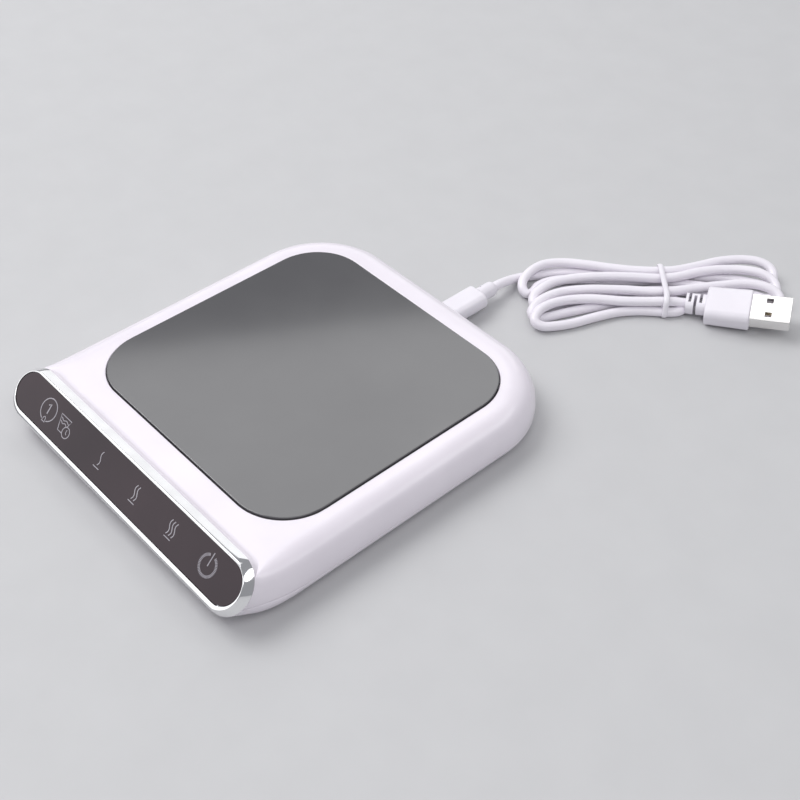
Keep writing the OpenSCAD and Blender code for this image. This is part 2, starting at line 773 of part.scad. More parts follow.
top_cover();
bottom_cover();
glass_plate();
glass_adhesive_ring();
heating_film();
heat_spreader();
insulation_pad();
heater_carrier();
heater_screws();
heater_leads();
thermistor();
thermal_fuse();
main_board();
board_components();
board_screws();
usb_socket();
usb_tongue();
buzzer();
chrome_bezel();
touch_panel();
light_guide();
indicator_leds();
touch_board();
ribbon_cable();
rubber_feet();
housing_screws();
plug_shell();
plug_grip();
plug_relief();
cord_run();
cord_hank();
cord_tail();
cable_tie();
usb_a_relief();
usb_a_grip();
usb_a_shell();
usb_a_tongue();
usb_a_contacts();
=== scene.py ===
"""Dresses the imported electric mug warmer: smooth housing skins, the glass, the chrome touch bar
with its printed keys, and the lead that is folded into a hank. Metres, in the CAD frame."""

import math

import bmesh
import bpy
import numpy as np
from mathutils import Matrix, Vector


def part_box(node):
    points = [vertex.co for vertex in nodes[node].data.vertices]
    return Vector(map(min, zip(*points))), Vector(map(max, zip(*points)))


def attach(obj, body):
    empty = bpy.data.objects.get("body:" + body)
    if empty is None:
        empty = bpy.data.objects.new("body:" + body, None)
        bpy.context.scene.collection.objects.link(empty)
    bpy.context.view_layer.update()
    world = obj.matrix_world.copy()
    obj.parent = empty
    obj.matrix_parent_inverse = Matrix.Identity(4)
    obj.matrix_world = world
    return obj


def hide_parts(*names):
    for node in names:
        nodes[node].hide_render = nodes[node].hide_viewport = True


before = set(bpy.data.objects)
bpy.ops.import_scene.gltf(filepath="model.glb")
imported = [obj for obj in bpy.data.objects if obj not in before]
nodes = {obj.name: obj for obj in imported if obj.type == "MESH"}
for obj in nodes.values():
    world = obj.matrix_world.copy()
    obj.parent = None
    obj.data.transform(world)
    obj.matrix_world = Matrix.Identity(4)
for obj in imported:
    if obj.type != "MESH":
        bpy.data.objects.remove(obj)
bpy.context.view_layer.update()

MM = 0.001
X_AXIS, Y_AXIS, Z_AXIS = np.eye(3)

# ---- Sizes of the housing, as in the part's source ----
GLASS_LOW, GLASS_HIGH = (np.array(c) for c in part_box("glass_plate"))
GLASS_W, GLASS_D = (GLASS_HIGH - GLASS_LOW)[:2]
GLASS_Y = (GLASS_LOW[1] + GLASS_HIGH[1]) / 2
GLASS_R = 18 * MM
GLASS_GAP = 0.35 * MM
DECK = GLASS_HIGH[2] - 0.6 * MM
LEDGE = GLASS_LOW[2] - 0.4 * MM
LEDGE_W = 3 * MM
BODY_W = GLASS_W + 23 * MM
BACK_Y = GLASS_HIGH[1] + 12.8 * MM
CORNER_R = 30 * MM
WALL = 1.8 * MM
SHOULDER_W = 9.3 * MM
BASE_ROUND = 6 * MM
SEAM_H = 6 * MM
SEAM_RISE = 4.4 * MM
SEAM_Y = -BACK_Y + 31 * MM
SEAM_RUN = 26.5 * MM
BLEND_L = 28 * MM
BOW_L = 14 * MM
BOW_IN = 8 * MM
RIDGE_RUN = 5.5 * MM
FOOT_H = 1 * MM
FOOT_HOLE_D = 10.2 * MM
FOOT_SINK = 0.6 * MM
FOOT_FROM_SIDE = 17.5 * MM
FOOT_FROM_FRONT = 24.6 * MM
FOOT_FROM_BACK = 22.6 * MM
SCREW_HOLE_D = 5.2 * MM
SCREW_SINK = 1.5 * MM
SCREW_PAST_GLASS = 3.6 * MM
SCREW_FROM_END = 11.5 * MM
SOCKET_H = 5.1 * MM
SOCKET_W, SOCKET_T = 9.34 * MM, 3.66 * MM

# ---- Touch bar: its frame has x along the bar, v up its face and n out of it ----
TILT = math.radians(45)
PANEL_H = 13.3 * MM
PANEL_T = 1.8 * MM
PANEL_DROP = 0.2 * MM
LIP_TOP, LIP_LOW, LIP_SIDE = 0.65 * MM, 1.5 * MM, 0.5 * MM
FLARE = 1.6 * MM
BEZEL_D = 3.1 * MM
SPIGOT_L = 4.5 * MM
SPIGOT_WALL = 1.2 * MM
WINDOW_IN = 1.5 * MM
FIT = 0.15 * MM
BAR_Y = -BACK_Y + (PANEL_H / 2 + LIP_LOW) * math.cos(TILT)
BAR_Z = DECK + 3 * MM - PANEL_H / 2 * math.sin(TILT)
RING_R = (PANEL_H + LIP_TOP + LIP_LOW) / 2 + FLARE
RING_V = (LIP_TOP - LIP_LOW) / 2
RING_A = BODY_W / 2 - 1.4 * MM - RING_R
PANEL_L = 2 * (RING_A + RING_R - FLARE - LIP_SIDE)
RING_LOW = BAR_Z + (RING_V - RING_R) * math.sin(TILT) - BEZEL_D * math.cos(TILT)
BAR_O = np.array([0, BAR_Y, BAR_Z])
BAR_V = np.array([0, math.cos(TILT), math.sin(TILT)])
BAR_N = np.array([0, -math.sin(TILT), math.cos(TILT)])

# ---- Sizes that the scene has for itself ----
EASE = 2.25                                 # bend of the shoulder; 2 would be a plain arc
SEAM_GAP = 0.1 * MM                         # 0.2 mm in the part's source
TOP_RIM, LOW_RIM = 0.15 * MM, 0.55 * MM     # rounding of the covers' rims at the seam
TOP_WALL = 1.1 * MM                         # thickness of the top cover's skin
RECESS_EDGE = 0.28 * MM                     # rounding of the deck round the glass
GLASS_EDGE = 0.25 * MM                      # pencilled upper edge of the glass
GLASS_FOOT = 0.3 * MM                       # chamfer of its lower edge
BULGE = 0.07 * MM                           # how far the bezel's flank swells
BULGE_OUT, BULGE_UP = 0.889, 0.459          # the way it swells, square to the flank
PRINT_T = 0.03 * MM                         # how far the print stands out of the panel
HAIR = 0.0001 * MM                          # a length that counts as nothing


def on_bar(x, v, n):
    """Points of the bar's frame as rows of world points."""
    x, v, n = np.broadcast_arrays(x, v, n)
    return BAR_O + x[..., None] * X_AXIS + v[..., None] * BAR_V + n[..., None] * BAR_N


def add_object(name, data):
    thing = bpy.data.objects.new(name, data)
    bpy.context.collection.objects.link(thing)
    return thing


# ---- Camera, at the photograph's viewing angle ----
CAMERA_AT = (0.25588, -0.18051, 0.30062)
CAMERA_TURN = (46.756, 0, 48.212)
CAMERA_LENS = 59.69


def add_camera():
    data = bpy.data.cameras.new("camera")
    data.lens = CAMERA_LENS
    data.sensor_width = 36
    data.clip_start, data.clip_end = 0.01, 20
    camera = add_object("camera", data)
    camera.location = CAMERA_AT
    camera.rotation_euler = [math.radians(a) for a in CAMERA_TURN]
    bpy.context.scene.camera = camera


add_camera()


# ---- Materials ----
class Shader:
    """One Principled material; its methods add noise to colour, roughness and bump."""

    def __init__(self, name, **sockets):
        self.material = bpy.data.materials.new(name)
        self.material.use_nodes = True
        self.tree = self.material.node_tree
        self.body = self.tree.nodes["Principled BSDF"]
        for key, value in sockets.items():
            self.body.inputs[key.replace("_", " ")].default_value = value
        self.place = self.tree.nodes.new("ShaderNodeTexCoord")

    def noise(self, scale, detail):
        node = self.tree.nodes.new("ShaderNodeTexNoise")
        node.inputs["Scale"].default_value = scale
        node.inputs["Detail"].default_value = detail
        self.tree.links.new(self.place.outputs["Object"], node.inputs["Vector"])
        return node.outputs["Fac"]

    def colour(self, scale, dark, light):
        node = self.tree.nodes.new("ShaderNodeValToRGB")
        for k, (position, shade) in enumerate([(0.3, dark), (0.7, light)]):
            node.color_ramp.elements[k].position = position
            node.color_ramp.elements[k].color = (*shade, 1)
        self.tree.links.new(self.noise(scale, 3), node.inputs["Fac"])
        self.tree.links.new(node.outputs["Color"], self.body.inputs["Base Color"])
        return self

    def roughness(self, scale, low, high):
        node = self.tree.nodes.new("ShaderNodeMapRange")
        node.inputs["To Min"].default_value = low
        node.inputs["To Max"].default_value = high
        self.tree.links.new(self.noise(scale, 4), node.inputs["Value"])
        self.tree.links.new(node.outputs["Result"], self.body.inputs["Roughness"])
        return self

    def bump(self, scale, depth):
        node = self.tree.nodes.new("ShaderNodeBump")
        node.inputs["Strength"].default_value = 1
        node.inputs["Distance"].default_value = depth
        self.tree.links.new(self.noise(scale, 2), node.inputs["Height"])
        self.tree.links.new(node.outputs["Normal"], self.body.inputs["Normal"])
        return self


def plastic(name, dark, light, rough, grain=2500, depth=0.004 * MM, **more):
    return Shader(name, **more).colour(60, dark, light).roughness(220, *rough).bump(grain, depth).material


def metal(name, dark, light, rough, depth=0.002 * MM, grain=900):
    shader = Shader(name, Metallic=1.0)
    return shader.colour(150, dark, light).roughness(300, *rough).bump(grain, depth).material


def glassy(name, scale, dark, light, rough_scale, rough, **more):
    return Shader(name, **more).colour(scale, dark, light).roughness(rough_scale, *rough).material


WHITE = plastic("white_shell", (0.80, 0.752, 0.82), (0.84, 0.792, 0.86), (0.2, 0.28), 1800,
                Coat_Weight=0.35, Coat_Roughness=0.06)
LEAD = plastic("white_lead", (0.82, 0.785, 0.85), (0.87, 0.832, 0.895), (0.3, 0.42), 3000, 0.006 * MM,
               Coat_Weight=0.15, Coat_Roughness=0.2, Sheen_Weight=0.08)
GRIP = plastic("white_grip", (0.78, 0.75, 0.81), (0.83, 0.80, 0.86), (0.26, 0.36), 2200, 0.005 * MM,
               Coat_Weight=0.2, Coat_Roughness=0.15)
CHROME = metal("chrome", (0.82, 0.82, 0.83), (0.9, 0.9, 0.91), (0.04, 0.09), 0.0008 * MM, 400)
STEEL = metal("steel", (0.62, 0.61, 0.6), (0.72, 0.71, 0.7), (0.2, 0.32))
BRIGHT_STEEL = metal("bright_steel", (0.82, 0.8, 0.79), (0.9, 0.89, 0.88), (0.14, 0.22))
GOLD = metal("pale_gold", (0.82, 0.72, 0.5), (0.9, 0.8, 0.6), (0.3, 0.4))
GLASS = glassy("grey_glass", 25, (0.062, 0.061, 0.066), (0.077, 0.076, 0.081), 40, (0.1, 0.16),
               Coat_Weight=1.0, Coat_Roughness=0.08, IOR=1.6)
PANEL = glassy("touch_panel", 30, (0.028, 0.017, 0.023), (0.042, 0.026, 0.033), 60, (0.12, 0.2),
               Coat_Weight=0.35, Coat_Roughness=0.03, IOR=1.3)
PRINT = plastic("key_print", (0.36, 0.34, 0.38), (0.42, 0.4, 0.44), (0.4, 0.5))
BLACK = plastic("black_plastic", (0.015, 0.015, 0.016), (0.03, 0.03, 0.032), (0.3, 0.45))
RUBBER = plastic("grey_rubber", (0.1, 0.1, 0.11), (0.15, 0.15, 0.16), (0.6, 0.8), 1500, 0.02 * MM)
BOARD = plastic("board_green", (0.02, 0.12, 0.05), (0.03, 0.17, 0.07), (0.3, 0.45))
IVORY = plastic("ivory_plastic", (0.72, 0.66, 0.5), (0.8, 0.74, 0.58), (0.35, 0.5))
FILM = plastic("amber_film", (0.5, 0.22, 0.05), (0.6, 0.3, 0.08), (0.25, 0.4))
PAD = plastic("fibre_pad", (0.62, 0.6, 0.56), (0.75, 0.73, 0.7), (0.8, 0.95), 1200, 0.08 * MM)
LAMP = plastic("lamp", (0.85, 0.8, 0.6), (0.92, 0.88, 0.7), (0.3, 0.4))
FLOOR = plastic("floor_paper", (0.53, 0.53, 0.54), (0.545, 0.545, 0.555), (0.55, 0.7), 900, 0.01 * MM)

NODE_FINISH = {
    "glass_adhesive_ring": BLACK, "heating_film": FILM, "heat_spreader": STEEL,
    "insulation_pad": PAD, "heater_carrier": STEEL, "heater_screws": STEEL, "heater_leads": IVORY,
    "thermistor": IVORY, "thermal_fuse": IVORY, "main_board": BOARD, "board_components": BLACK,
    "board_screws": STEEL, "usb_socket": STEEL, "usb_tongue": BLACK, "buzzer": BLACK,
    "light_guide": WHITE, "indicator_leds": LAMP, "touch_board": BOARD, "ribbon_cable": IVORY,
    "rubber_feet": RUBBER, "housing_screws": STEEL, "plug_shell": STEEL, "plug_relief": GRIP,
    "usb_a_relief": GRIP, "usb_a_shell": BRIGHT_STEEL, "usb_a_tongue": WHITE,
    "usb_a_contacts": GOLD,
}


def dress_nodes():
    for name, finish in NODE_FINISH.items():
        nodes[name].data.materials.clear()
        nodes[name].data.materials.append(finish)


dress_nodes()

# ---- Mesh helpers ----
WELD = 0.01 * MM    # points nearer than this become one


def mesh_object(name, points, faces):
    mesh = bpy.data.meshes.new(name)
    mesh.from_pydata([tuple(p) for p in points], [], [tuple(f) for f in faces])
    return add_object(name, mesh)


def add_piece(name, points, faces, finish, body):
    piece = mesh_object(name, points, faces)
    piece.data.validate()
    piece.data.materials.append(finish)
    piece.data.shade_smooth()
    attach(piece, body)
    return piece


def apply_modifiers(piece):
    graph = bpy.context.evaluated_depsgraph_get()
    mesh = bpy.data.meshes.new_from_object(piece.evaluated_get(graph))
    piece.modifiers.clear()
    piece.data = mesh


def sharpen(piece, angle):
    """Marks the edges sharp where faces meet at more than angle degrees."""
    piece.data.set_sharp_from_angle(angle=math.radians(angle))


def even_normals(piece):
    even = piece.modifiers.new("even", "WEIGHTED_NORMAL")
    even.keep_sharp = True
    apply_modifiers(piece)


def face_outwards(piece, weld=0.0):
    """Turns the faces outwards, after points nearer than weld are joined."""
    mesh = bmesh.new()
    mesh.from_mesh(piece.data)
    if weld:
        bmesh.ops.remove_doubles(mesh, verts=mesh.verts, dist=weld)
        bmesh.ops.dissolve_degenerate(mesh, edges=mesh.edges, dist=weld / 2)
    bmesh.ops.recalc_face_normals(mesh, faces=mesh.faces)
    mesh.to_mesh(piece.data)
    mesh.free()


def grid_faces(rows, columns, closed):
    """Quads of a grid of points, row by row; closed joins the last column to the first."""
    last = columns if closed else columns - 1
    return [(r * columns + c, r * columns + (c + 1) % columns,
             (r + 1) * columns + (c + 1) % columns, (r + 1) * columns + c)
            for r in range(rows - 1) for c in range(last)]


def join_parts(parts):
    """Points and faces of one mesh from those of several."""
    all_points, all_faces = [], []
    for points, faces in parts:
        base = len(all_points)
        all_points += list(points)
        all_faces += [tuple(base + k for k in face) for face in faces]
    return all_points, all_faces


def grid(rows, closed):
    """Points and faces of a grid that is given as rows of points."""
    rows = np.array(rows)
    return rows.reshape(-1, 3), grid_faces(*rows.shape[:2], closed)


def loft(name, rings, finish, body, angle):
    """A closed skin over rings of points, with flat ends."""
    points, faces = grid(rings, True)
    columns = len(rings[0])
    faces.append(range(columns - 1, -1, -1))
    faces.append(range(len(points) - columns, len(points)))
    piece = add_piece(name, points, faces, finish, body)
    sharpen(piece, angle)
    even_normals(piece)
    return piece


def loft_round(name, rings, finish, body, angle):
    """A closed skin over rings of points, from the first to the last and on to the first again."""
    points, faces = grid([*rings, rings[0]], True)
    piece = add_piece(name, points, faces, finish, body)
    sharpen(piece, angle)
    face_outwards(piece, WELD)
    return piece


def at_height(outline, z):
    """A 2-D outline as 3-D points at height z."""
    return np.column_stack([outline, np.full(len(outline), z)])


def round_edge(r, degrees):
    """(drop, inset) of points round an edge of radius r: 0 degrees is on its top, 90 on its side."""
    return [(r * (1 - math.cos(a)), r * (1 - math.sin(a))) for a in np.radians(degrees)]


def rounded_square(w, d, r, arc):
    """Counter-clockwise outline of a rounded rectangle round the origin."""
    points = []
    for k, (sx, sy) in enumerate([(1, 1), (-1, 1), (-1, -1), (1, -1)]):
        for a in np.radians(np.linspace(k * 90, k * 90 + 90, arc + 1)):
            points.append((sx * (w / 2 - r) + r * math.cos(a), sy * (d / 2 - r) + r * math.sin(a)))
    return np.array(points)


def stadium(w, h, arc=40, side=30):
    """Counter-clockwise outline of a bar with round ends."""
    a, r = (w - h) / 2, h / 2
    turn = np.radians(np.linspace(-90, 90, arc + 1))
    run = np.linspace(a, -a, side + 1)[1:-1]
    right = np.column_stack([a + r * np.cos(turn), r * np.sin(turn)])
    top = np.column_stack([run, np.full(len(run), r)])
    return np.vstack([right, top, -right, -top])


# ---- Housing form: the same level outlines as in the part's source, but for the eased shoulder ----
def arc_part(s):
    """Height of a quarter circle of radius 1 at s from its middle."""
    return np.sqrt(np.clip(1 - np.square(s), 0, None))


def soft_part(s):
    """As arc_part, but the bend eases in at both ends."""
    return np.power(np.clip(1 - np.power(np.abs(s), EASE), 0, None), 1 / EASE)


def side_in(z):
    """How far the side is pulled in at height z."""
    return np.where(z >= SEAM_H,
                    SHOULDER_W * (1 - soft_part((z - SEAM_H) / (DECK - SEAM_H))),
                    BASE_ROUND * (1 - arc_part((SEAM_H - z) / (SEAM_H - FOOT_H))))


def ring_at(z):
    """Where height z lies up the bar, on the plane where the bezel meets the housing."""
    return (z - BAR_Z + BEZEL_D * math.cos(TILT)) / math.sin(TILT)


def face_y(z):
    """y of the plane where the bezel meets the housing, at height z."""
    return BAR_Y + ring_at(z) * math.cos(TILT) + BEZEL_D * math.sin(TILT)


def bow_at(z):
    """The sweep under the bar: 1 at the bezel's lower edge, 0 on the underside."""
    return arc_part((RING_LOW - z) / (RING_LOW - FOOT_H))


def front_y(z):
    """y of the housing's front at height z, behind the bezel and under it."""
    return np.where(z >= RING_LOW, face_y(z), face_y(RING_LOW) + BOW_L * (1 - bow_at(z)))


def front_x(z):
    """Half the front's width at height z, as front_y."""
    ring = RING_A + RING_R * arc_part((ring_at(z) - RING_V) / RING_R)
    return np.where(z >= RING_LOW, ring, RING_A - BOW_IN * (1 - bow_at(z)))


def seam_at(y):
    """Height of the seam, which rises towards the bar."""
    return SEAM_H + SEAM_RISE * np.power(np.clip((SEAM_Y - y) / SEAM_RUN, 0, None), 1.5)


# Columns run from the bar's right end, along the side and round the back corner to the middle.
BLEND, STRAIGHT, CORNER, BACK = range(4)
COLUMN_STEPS = {BLEND: 30, STRAIGHT: 22, CORNER: 36, BACK: 12}


def side_columns():
    """(stretch of the side, place along it from 0 to 1) of each column on the right half."""
    columns = [(BLEND, 0.0)]
    for stretch, steps in COLUMN_STEPS.items():
        columns += [(stretch, t) for t in np.linspace(0, 1, steps + 1)[1:]]
    return columns


def side_point(column, z, inset=0.0):
    """x, y of a column at height z, pulled in by inset."""
    stretch, t = column
    w = BODY_W / 2 - side_in(z) - inset
    r = CORNER_R - side_in(z) - inset
    cx, cy = BODY_W / 2 - CORNER_R, BACK_Y - CORNER_R
    fx, fy = front_x(z) - inset, front_y(z)
    if stretch == BLEND:
        return w + (fx - w) * (1 - t) ** 4, fy + t * BLEND_L
    if stretch == STRAIGHT:
        return w, fy + BLEND_L + t * (cy - fy - BLEND_L)
    if stretch == CORNER:
        return cx + r * np.cos(t * math.pi / 2), cy + r * np.sin(t * math.pi / 2)
    return cx * (1 - t), cy + r


def seam_height(column):
    """Where a column meets the seam, whose height depends on the column's own y."""
    z = SEAM_H
    for _ in range(12):
        z = float(seam_at(side_point(column, z)[1]))
    return z


COLUMNS = side_columns()
SEAM = [seam_height(c) for c in COLUMNS]


def side_row(heights, inset=0.0):
    """A row of side points, right half and mirrored left half, at the given height of each column."""
    right = np.array([[*side_point(c, z, inset), z] for c, z in zip(COLUMNS, heights)])
    left = right[-2::-1] * np.array([-1, 1, 1])
    return np.vstack([right, left])


def rim_rows(heights, r, way):
    """Rows round a cover's rim, from its face out to the wall; way is 1 upwards, -1 downwards."""
    return [side_row([z + way * drop for z in heights], inset)
            for drop, inset in round_edge(r, [0, 30, 60])]


# ---- Housing covers ----
def thicken(piece, thickness):
    """Gives an open skin its wall, towards the middle of the housing."""
    inside = Vector((0, 0, 9 * MM))
    if sum(f.area * f.normal.dot(f.center - inside) for f in piece.data.polygons) < 0:
        piece.data.flip_normals()
    solid = piece.modifiers.new("wall", "SOLIDIFY")
    solid.thickness = thickness
    solid.offset = -1
    solid.use_even_offset = False
    apply_modifiers(piece)


def recess_outline(directions, offset):
    """Where rays from the glass's middle leave its recess, grown by offset."""
    half = np.array([GLASS_W / 2 + GLASS_GAP + offset, GLASS_D / 2 + GLASS_GAP + offset])
    r = GLASS_R + GLASS_GAP + offset
    low, high = np.zeros(len(directions)), np.full(len(directions), BODY_W)
    for _ in range(40):
        middle = (low + high) / 2
        q = np.abs(directions * middle[:, None]) - (half - r)
        gap = np.linalg.norm(np.clip(q, 0, None), axis=1) + np.clip(q.max(axis=1), None, 0) - r
        low, high = np.where(gap < 0, middle, low), np.where(gap < 0, high, middle)
    return directions * low[:, None] + np.array([0, GLASS_Y])


def bezel_top_edge():
    """The bezel's top outline on the housing, from the left end of the deck to the right."""
    deck_turn = math.asin((ring_at(DECK) - RING_V) / RING_R)
    turn = np.linspace(deck_turn, math.pi / 2, 15)
    right = np.column_stack([RING_A + RING_R * np.cos(turn), RING_V + RING_R * np.sin(turn)])
    run = np.linspace(-RING_A, RING_A, 71)[1:-1]
    top = np.column_stack([run, np.full(len(run), RING_V + RING_R)])
    left = right * np.array([-1, 1])
    line = np.vstack([left, top, right[::-1]])
    return on_bar(line[:, 0], line[:, 1], -BEZEL_D)


def shoulder_rows():
    """Rows of the top cover's side, from the seam up to the deck."""
    rise = DECK - SEAM_H
    starts = [math.asin((z + TOP_RIM - SEAM_H) / rise) for z in SEAM]
    return [side_row([SEAM_H + rise * math.sin(a + (math.pi / 2 - a) * t) for a in starts])
            for t in np.linspace(0, 1, 26)]


def deck_rows(outer):
    """Rows from the deck's outer edge to the rim of the glass's recess, and down to its ledge."""
    directions = outer[:, :2] - np.array([0, GLASS_Y])
    directions /= np.linalg.norm(directions, axis=1)[:, None]
    rim = recess_outline(directions, RECESS_EDGE)
    # The ridge falls from the bezel's top edge to the deck over RIDGE_RUN.
    ridge = outer[:, 2] - DECK
    ridge[ridge < HAIR] = 0
    ridge_foot = face_y(DECK) + RIDGE_RUN
    ridge_run = np.maximum(ridge_foot - outer[:, 1], HAIR)
    rows = []
    for t in np.linspace(0, 1, 34):
        xy = outer[:, :2] + (rim - outer[:, :2]) * t
        slope = np.clip((ridge_foot - xy[:, 1]) / ridge_run, 0, 1) ** 2
        rows.append(np.column_stack([xy, DECK + ridge * slope]))
    levels = [(inset, DECK - drop) for drop, inset in round_edge(RECESS_EDGE, [22, 45, 68, 90])]
    levels += [(0, LEDGE), (-LEDGE_W - GLASS_GAP, LEDGE)]
    return rows + [at_height(recess_outline(directions, offset), z) for offset, z in levels]


def top_cover_skin():
    """The top cover's outer face, open at the seam: its side, and the deck down to the ledge."""
    side = rim_rows(SEAM, TOP_RIM, 1) + shoulder_rows()
    outer = np.vstack([side[-1], bezel_top_edge()[1:-1]])
    points, faces = join_parts([grid(side, False), grid(deck_rows(outer), True)])
    return add_piece("housing_top", points, faces, WHITE, "warmer")


def bottom_cover_skin():
    """The bottom cover's outer face: its side, the swept front under the bar, and the underside."""
    rim = [z - SEAM_GAP for z in SEAM]
    start = [z - LOW_RIM for z in rim]
    lower = [min(RING_LOW, z) for z in start]
    side = rim_rows(rim, LOW_RIM, -1)
    for t in np.linspace(0, 1, 9):
        side.append(side_row([z + (end - z) * t for z, end in zip(start, lower)]))
    fall = [math.sin(a) for a in np.linspace(0, math.pi / 2, 18)]
    for f in fall[1:]:
        side.append(side_row([z - (z - FOOT_H) * f for z in lower]))
    below_bar = [RING_LOW - (RING_LOW - FOOT_H) * f for f in fall]
    front = [[(u * front_x(z), front_y(z), z) for u in np.linspace(-1, 1, 61)] for z in below_bar]
    points, faces = join_parts([grid(side, False), grid(front, False)])
    # The flat underside is one strip of quads between the two halves of the lowest row.
    count = len(side[-1])
    last = (len(side) - 1) * count
    half = count // 2
    faces += [(last + k, last + k + 1, last + count - 2 - k, last + count - 1 - k)
              for k in range(half - 1)]
    faces.append((last + half - 1, last + half, last + half + 1))
    return add_piece("housing_bottom", points, faces, WHITE, "warmer")


def prism(low, high):
    """Points and faces of a prism between two like outlines."""
    n = len(low)
    sides = [(k, (k + 1) % n, n + (k + 1) % n, n + k) for k in range(n)]
    return np.vstack([low, high]), sides + [range(n - 1, -1, -1), range(n, 2 * n)]


def disc(x, y, low, high, d):
    """A prism's two outlines: an upright round hole of diameter d."""
    turn = np.linspace(0, 2 * math.pi, 40, endpoint=False)
    ring = np.column_stack([x + d / 2 * np.cos(turn), y + d / 2 * np.sin(turn)])
    return at_height(ring, low), at_height(ring, high)


def socket_opening():
    """A prism's two outlines: the opening for the power socket, through the back wall."""
    outline = stadium(SOCKET_W, SOCKET_T, 20, 4)
    ring = np.column_stack([outline[:, 0], np.full(len(outline), BACK_Y), outline[:, 1] + SOCKET_H])
    reach = 8 * MM * Y_AXIS
    return ring - reach, ring + reach


def finish_cover(piece, thickness, holes, angle):
    """Gives a cover's skin its wall, its holes and its normals."""
    face_outwards(piece, WELD)
    thicken(piece, thickness)
    tool = mesh_object("tool", *join_parts([prism(*hole) for hole in holes]))
    step = piece.modifiers.new("cut", "BOOLEAN")
    step.operation, step.object, step.solver = "DIFFERENCE", tool, "EXACT"
    apply_modifiers(piece)
    bpy.data.objects.remove(tool)
    piece.data.shade_smooth()
    sharpen(piece, angle)
    even_normals(piece)


def housing():
    screw_x, screw_y = GLASS_W / 2 + SCREW_PAST_GLASS, GLASS_D / 2 - SCREW_FROM_END
    screws = [(x * screw_x, GLASS_Y + y * screw_y) for x in (-1, 1) for y in (-1, 1)]
    foot_x = BODY_W / 2 - FOOT_FROM_SIDE
    feet = [(x, y) for x in (-foot_x, foot_x)
            for y in (-BACK_Y + FOOT_FROM_FRONT, BACK_Y - FOOT_FROM_BACK)]
    holes = [disc(x, y, -1 * MM, FOOT_H + SCREW_SINK, SCREW_HOLE_D) for x, y in screws]
    holes += [disc(x, y, -1 * MM, FOOT_H + FOOT_SINK, FOOT_HOLE_D) for x, y in feet]
    top = top_cover_skin()
    finish_cover(top, TOP_WALL, [socket_opening()], 55)
    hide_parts("top_cover")
    bottom = bottom_cover_skin()
    finish_cover(bottom, WALL, [socket_opening()] + holes, 30)
    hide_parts("bottom_cover")


housing()


# ---- Glass plate with its pencilled edge ----
def glass_plate():
    low, high = GLASS_LOW[2], GLASS_HIGH[2]
    levels = [(low, GLASS_FOOT), (low + GLASS_FOOT, 0)]
    levels += [(high - drop, inset) for drop, inset in round_edge(GLASS_EDGE, range(90, -1, -15))]
    rings = []
    for z, inset in levels:
        outline = rounded_square(GLASS_W - 2 * inset, GLASS_D - 2 * inset, GLASS_R - inset, 24)
        rings.append(at_height(outline + np.array([0, GLASS_Y]), z))
    piece = loft("glass_top", rings, GLASS, "warmer", 30)
    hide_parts("glass_plate")


glass_plate()


# ---- Chrome bezel, dark panel and its printed keys ----
def bar_ring(w, h, v, n):
    """A bar with round ends, centred at v and n in the bar's frame."""
    outline = stadium(w, h)
    return on_bar(outline[:, 0], outline[:, 1] + v, n)


def chrome_bezel():
    """The chrome ring with its swollen flank, the panel's seat and the spigot into the housing."""
    lip_w, lip_h = 2 * (RING_A + RING_R - FLARE), 2 * (RING_R - FLARE)
    # (growth over the lip, n) of the outer rings: the base, the flank and the rounded lip.
    outer = [(2 * FLARE - 0.3 * MM, -BEZEL_D)]
    for t in np.linspace(0.04, 0.92, 14):
        swell = BULGE * 4 * t * (1 - t)
        outer.append((2 * FLARE * (1 - t) + 2 * swell * BULGE_OUT, -BEZEL_D * (1 - t) + swell * BULGE_UP))
    outer += [(0.05 * MM, -0.05 * MM), (-0.05 * MM, -0.01 * MM), (-0.14 * MM, 0)]
    loops = [(lip_w + grow, lip_h + grow, RING_V, n) for grow, n in outer]
    # The panel's seat, the window behind it and the spigot into the housing.
    seat_w, seat_h, seat_n = PANEL_L + FIT, PANEL_H + FIT, -PANEL_DROP - PANEL_T
    loops += [(seat_w + 0.1 * MM, seat_h + 0.1 * MM, 0, 0), (seat_w, seat_h, 0, -0.05 * MM),
              (seat_w, seat_h, 0, seat_n)]
    window_w, window_h = PANEL_L - 2 * WINDOW_IN, PANEL_H - 2 * WINDOW_IN
    spigot_w, spigot_h = window_w + 2 * SPIGOT_WALL, window_h + 2 * SPIGOT_WALL
    end = -BEZEL_D - SPIGOT_L
    loops += [(window_w, window_h, 0, seat_n), (window_w, window_h, 0, end),
              (spigot_w, spigot_h, 0, end), (spigot_w, spigot_h, 0, -BEZEL_D)]
    piece = loft_round("bezel", [bar_ring(*loop) for loop in loops], CHROME, "warmer", 32)
    piece.data.shade_smooth()
    sharpen(piece, 32)
    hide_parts("chrome_bezel")


def touch_panel():
    w, h = PANEL_L - FIT, PANEL_H - FIT
    # (inset, depth below the face), from the back to the softened front edge.
    levels = [(0, PANEL_T), (0, 0.12 * MM), (0.04 * MM, 0.04 * MM), (0.14 * MM, 0)]
    rings = [bar_ring(w - 2 * inset, h - 2 * inset, 0, -PANEL_DROP - depth) for inset, depth in levels]
    piece = loft("panel_lens", rings, PANEL, "warmer", 30)
    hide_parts("touch_panel")


